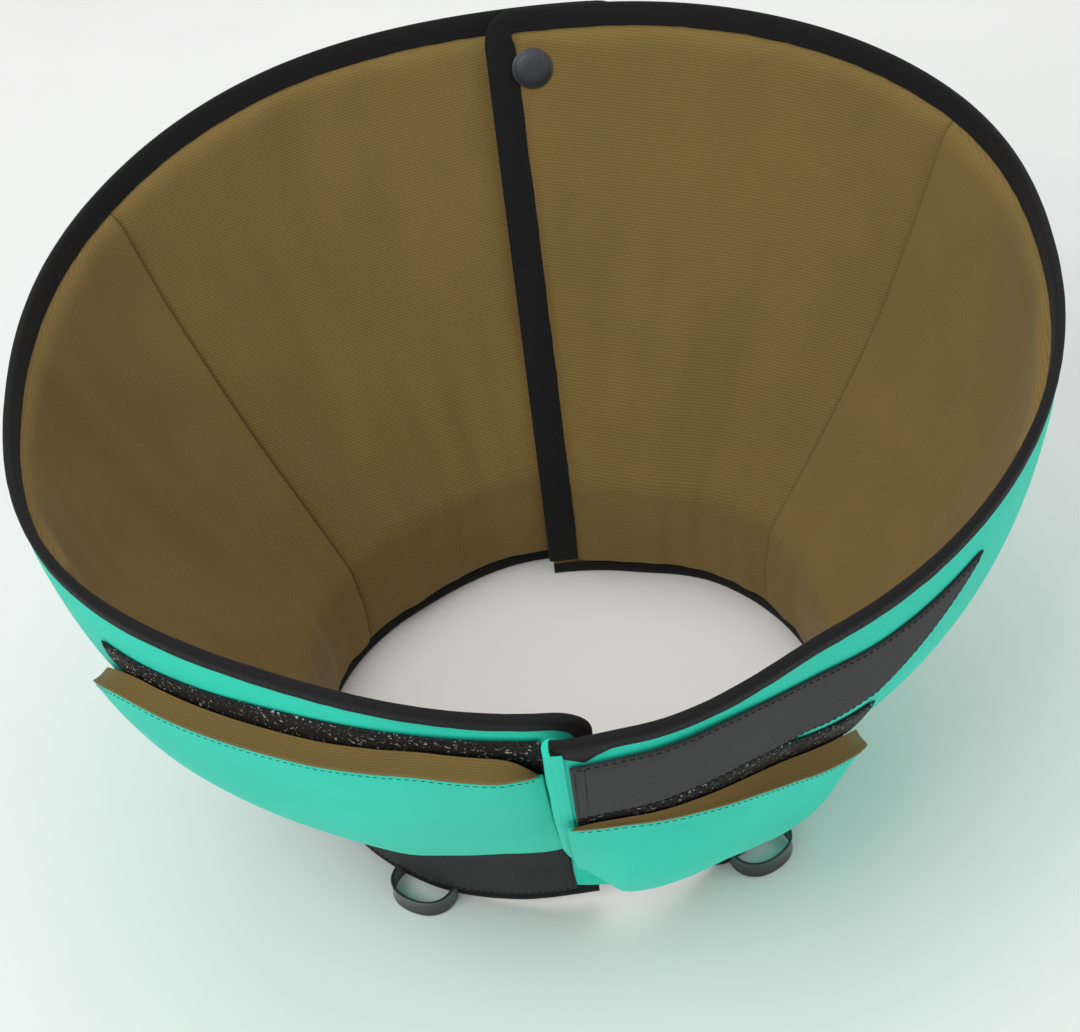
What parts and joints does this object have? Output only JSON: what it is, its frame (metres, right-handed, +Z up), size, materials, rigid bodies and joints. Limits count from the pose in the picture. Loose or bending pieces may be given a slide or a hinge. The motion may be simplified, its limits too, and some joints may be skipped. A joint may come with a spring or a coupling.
{
  "type": "soft recovery cone",
  "caption": "Padded fabric pet cone: wide bound rim narrowing to a short collar, hook-and-loop front with full flaps, snap at the back and ribbon loops at the neck.",
  "frame": {"origin": "centre of the outside box at its bottom, on the plane of the neck's lower edge", "axes": "+Z up the cone's axis from the neck to the rim, -Y towards the front closure, +X to the wearer's left, which is right in the picture"},
  "size_m": [0.3432, 0.3686, 0.2011],
  "materials": {
    "lining": "matt olive-brown nylon with a fine rib weave over thin padding",
    "shell": "smooth matt teal fabric",
    "binding": "black folded binding tape with an edge stitch",
    "loop_tape": "dark grey loop tape with fine ribs across",
    "hook_tape": "black hook tape, rough",
    "ribbon": "black satin ribbon, slightly glossy",
    "snap": "black grained domed snap cap"
  },
  "bodies": {
    "root": {"lining_left_back": "lining", "lining_left_side": "lining", "lining_left_front": "lining", "lining_right_front": "lining", "lining_right_side": "lining", "lining_right_back": "lining", "shell_left": "shell", "shell_right": "shell", "flap_left": "shell", "flap_right": "shell", "flap_facing_left": "lining", "flap_facing_right": "lining", "hook_tape_left": "hook_tape", "hook_tape_right": "hook_tape", "rim_strap": "loop_tape", "neck_strap": "loop_tape", "rim_binding_left": "binding", "rim_binding_right": "binding", "neck_binding_left": "binding", "neck_binding_right": "binding", "snap_cap": "snap", "collar_loop_left": "ribbon", "collar_loop_right": "ribbon"}
  },
  "joints": []
}
